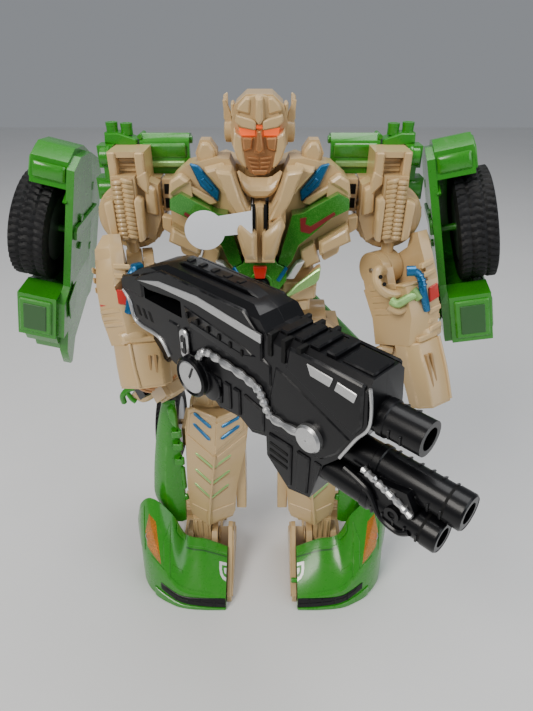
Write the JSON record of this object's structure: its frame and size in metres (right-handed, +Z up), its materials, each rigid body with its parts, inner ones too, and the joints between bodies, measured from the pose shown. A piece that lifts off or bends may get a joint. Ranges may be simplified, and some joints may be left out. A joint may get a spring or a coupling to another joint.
{
  "type": "transforming toy robot",
  "caption": "Standing toy robot that folds into a car: jointed arms and legs, car panels and wheels on its limbs, and a long toy gun held across its front.",
  "frame": {"origin": "centre of the body's footprint on the floor, between and under the feet, on the line through the head", "axes": "+Z up, the robot faces -Y, +X is the robot's own left"},
  "size_m": [0.2112, 0.1684, 0.24],
  "materials": {
    "beige": "satin moulded plastic",
    "green": "gloss moulded plastic",
    "green_paint": "metallic paint on plastic",
    "copper": "copper paint on plastic",
    "red_lens": "tinted clear plastic",
    "black": "satin black plastic",
    "tyre": "moulded rubber",
    "hub": "silver painted plastic",
    "lamp": "amber clear plastic",
    "white_film": "white film",
    "steel": "plated steel",
    "cell": "bright steel can",
    "board": "green laminate",
    "dark": "black paper cone",
    "clear": "clear resin"
  },
  "bodies": {
    "torso": {"chest_front_shell": "beige", "chest_back_shell": "beige", "chest_flares": "green_paint", "abdomen_plate": "green_paint", "waist_block": "beige", "pelvis_block": "beige", "shoulder_links": "beige", "battery_door": "beige", "battery_contacts": "steel", "button_cells": "cell", "sound_board": "board", "speaker": "dark", "light_diode": "clear", "button_spring": "steel", "case_screws": "steel"},
    "head": {"helmet": "beige", "face_plate": "copper", "eye_lens": "red_lens"},
    "button": {"push_button": "black"},
    "tab": {"pull_tab": "white_film"},
    "rear_deck": {"back_panel": "green"},
    "gun": {"gun_near_half": "black", "gun_far_half": "black", "gun_barrels": "black"},
    "left_upper_arm": {"left_upper_arm_front": "beige", "left_upper_arm_back": "beige", "left_roof_beam": "green"},
    "left_roof_flap": {"left_roof_flap": "green"},
    "left_fender": {"left_fender": "green"},
    "left_rear_wheel": {"left_rear_tyre": "tyre", "left_rear_hub": "hub"},
    "left_elbow": {"left_elbow_block": "beige"},
    "left_forearm": {"left_forearm": "beige"},
    "left_fist": {"left_fist": "beige"},
    "left_thigh": {"left_thigh": "beige"},
    "left_shin": {"left_shin": "beige"},
    "left_door": {"left_door_panel": "green"},
    "left_front_wheel": {"left_front_tyre": "tyre", "left_front_hub": "hub"},
    "left_foot": {"left_foot_frame": "beige", "left_hood": "green", "left_headlight": "lamp"},
    "right_upper_arm": {"right_upper_arm_front": "beige", "right_upper_arm_back": "beige", "right_roof_beam": "green"},
    "right_roof_flap": {"right_roof_flap": "green"},
    "right_fender": {"right_fender": "green"},
    "right_rear_wheel": {"right_rear_tyre": "tyre", "right_rear_hub": "hub"},
    "right_elbow": {"right_elbow_block": "beige"},
    "right_forearm": {"right_forearm": "beige"},
    "right_fist": {"right_fist": "beige"},
    "right_thigh": {"right_thigh": "beige"},
    "right_shin": {"right_shin": "beige"},
    "right_door": {"right_door_panel": "green"},
    "right_front_wheel": {"right_front_tyre": "tyre", "right_front_hub": "hub"},
    "right_foot": {"right_foot_frame": "beige", "right_hood": "green", "right_headlight": "lamp"}
  },
  "joints": [
    {"name": "neck", "type": "hinge", "parent": "torso", "child": "head", "pos_m": [0.00146, 0.04123, 0.211], "axis": [0, 0, 1], "range_deg": [-20, 20]},
    {"name": "button_press", "type": "slide", "parent": "torso", "child": "button", "axis": [0, 1, 0], "range_m": [0, 0.0015], "stiffness_N_per_m": 300, "springref_m": -0.0005},
    {"name": "tab_pull", "type": "slide", "parent": "torso", "child": "tab", "axis": [0, -1, 0], "range_m": [0, 0.009]},
    {"name": "rear_deck_fold", "type": "hinge", "parent": "torso", "child": "rear_deck", "pos_m": [0.00146, 0.06423, 0.165], "axis": [1, 0, 0], "range_deg": [0, 90]},
    {"name": "left_shoulder", "type": "hinge", "parent": "torso", "child": "left_upper_arm", "pos_m": [0.03946, 0.04223, 0.204], "axis": [-1, 0, 0], "range_deg": [-10, 45]},
    {"name": "left_roof_flap_fold", "type": "hinge", "parent": "left_upper_arm", "child": "left_roof_flap", "pos_m": [0.04766, 0.05023, 0.2236], "axis": [0, 1, 0], "range_deg": [0, 80]},
    {"name": "left_fender_fold", "type": "hinge", "parent": "left_upper_arm", "child": "left_fender", "pos_m": [0.07771, 0.06189, 0.18634], "axis": [-0.2382, 0.042, 0.9703], "range_deg": [0, 30]},
    {"name": "left_rear_wheel_spin", "type": "hinge", "parent": "left_fender", "child": "left_rear_wheel", "pos_m": [0.0893, 0.04664, 0.18985], "axis": [0.9556, -0.1685, 0.2419], "continuous": true},
    {"name": "left_arm_swivel", "type": "hinge", "parent": "left_upper_arm", "child": "left_elbow", "pos_m": [0.05246, 0.03423, 0.176], "axis": [0, 0, 1], "range_deg": [-20, 1.5]},
    {"name": "left_elbow_bend", "type": "hinge", "parent": "left_elbow", "child": "left_forearm", "pos_m": [0.05246, 0.03423, 0.176], "axis": [-0.829, -0.5592, 0], "range_deg": [-20, 2]},
    {"name": "left_wrist", "type": "hinge", "parent": "left_forearm", "child": "left_fist", "pos_m": [0.05754, 0.02158, 0.137], "axis": [-0.2274, 0.3372, 0.9135], "range_deg": [-30, 22]},
    {"name": "left_hip", "type": "hinge", "parent": "torso", "child": "left_thigh", "pos_m": [0.02146, 0.04123, 0.147], "axis": [-1, 0, 0], "range_deg": [0, 30]},
    {"name": "left_knee", "type": "hinge", "parent": "left_thigh", "child": "left_shin", "pos_m": [0.02546, 0.04323, 0.098], "axis": [1, 0, 0], "range_deg": [0, 16]},
    {"name": "left_door_swing", "type": "hinge", "parent": "left_shin", "child": "left_door", "pos_m": [0.04186, 0.03073, 0.07], "axis": [0, 0, -1], "range_deg": [0, 10]},
    {"name": "left_front_wheel_spin", "type": "hinge", "parent": "left_shin", "child": "left_front_wheel", "pos_m": [0.05146, 0.06223, 0.072], "axis": [1, 0, 0], "continuous": true},
    {"name": "left_ankle_tilt", "type": "hinge", "parent": "left_shin", "child": "left_foot", "pos_m": [0.03446, 0.03323, 0.015], "axis": [-1, 0, 0], "range_deg": [-8, 4]},
    {"name": "right_shoulder", "type": "hinge", "parent": "torso", "child": "right_upper_arm", "pos_m": [-0.03654, 0.04223, 0.204], "axis": [-1, 0, 0], "range_deg": [-4, 45]},
    {"name": "right_roof_flap_fold", "type": "hinge", "parent": "right_upper_arm", "child": "right_roof_flap", "pos_m": [-0.04474, 0.05023, 0.2236], "axis": [0, -1, 0], "range_deg": [0, 80]},
    {"name": "right_fender_fold", "type": "hinge", "parent": "right_upper_arm", "child": "right_fender", "pos_m": [-0.07757, 0.06762, 0.18454], "axis": [-0.241, 0.0872, -0.9666], "range_deg": [0, 30]},
    {"name": "right_rear_wheel_spin", "type": "hinge", "parent": "right_fender", "child": "right_rear_wheel", "pos_m": [-0.09191, 0.05467, 0.18695], "axis": [-0.9703, 0, 0.2419], "continuous": true},
    {"name": "right_arm_swivel", "type": "hinge", "parent": "right_upper_arm", "child": "right_elbow", "pos_m": [-0.04954, 0.03423, 0.176], "axis": [0, 0, 1], "range_deg": [-8, 8]},
    {"name": "right_elbow_bend", "type": "hinge", "parent": "right_elbow", "child": "right_forearm", "pos_m": [-0.04954, 0.03423, 0.176], "axis": [-0.9781, -0.2079, 0], "range_deg": [-15, 2]},
    {"name": "right_wrist", "type": "hinge", "parent": "right_forearm", "child": "right_fist", "pos_m": [-0.04304, 0.01573, 0.138], "axis": [0.0944, -0.4441, -0.891], "range_deg": [-4, 4]},
    {"name": "right_hip", "type": "hinge", "parent": "torso", "child": "right_thigh", "pos_m": [-0.01854, 0.04123, 0.147], "axis": [-1, 0, 0], "range_deg": [0, 30]},
    {"name": "right_knee", "type": "hinge", "parent": "right_thigh", "child": "right_shin", "pos_m": [-0.02254, 0.04323, 0.098], "axis": [1, 0, 0], "range_deg": [0, 16]},
    {"name": "right_door_swing", "type": "hinge", "parent": "right_shin", "child": "right_door", "pos_m": [-0.03894, 0.03073, 0.07], "axis": [0, 0, 1], "range_deg": [0, 10]},
    {"name": "right_front_wheel_spin", "type": "hinge", "parent": "right_shin", "child": "right_front_wheel", "pos_m": [-0.04854, 0.06223, 0.072], "axis": [1, 0, 0], "continuous": true},
    {"name": "right_ankle_tilt", "type": "hinge", "parent": "right_shin", "child": "right_foot", "pos_m": [-0.03154, 0.03323, 0.015], "axis": [-1, 0, 0], "range_deg": [-8, 4]},
    {"name": "gun_grip_turn", "type": "hinge", "parent": "right_fist", "child": "gun", "pos_m": [-0.04304, 0.01573, 0.138], "axis": [0.5, -0.5, 0.7071], "range_deg": [-4, 4]}
  ]
}
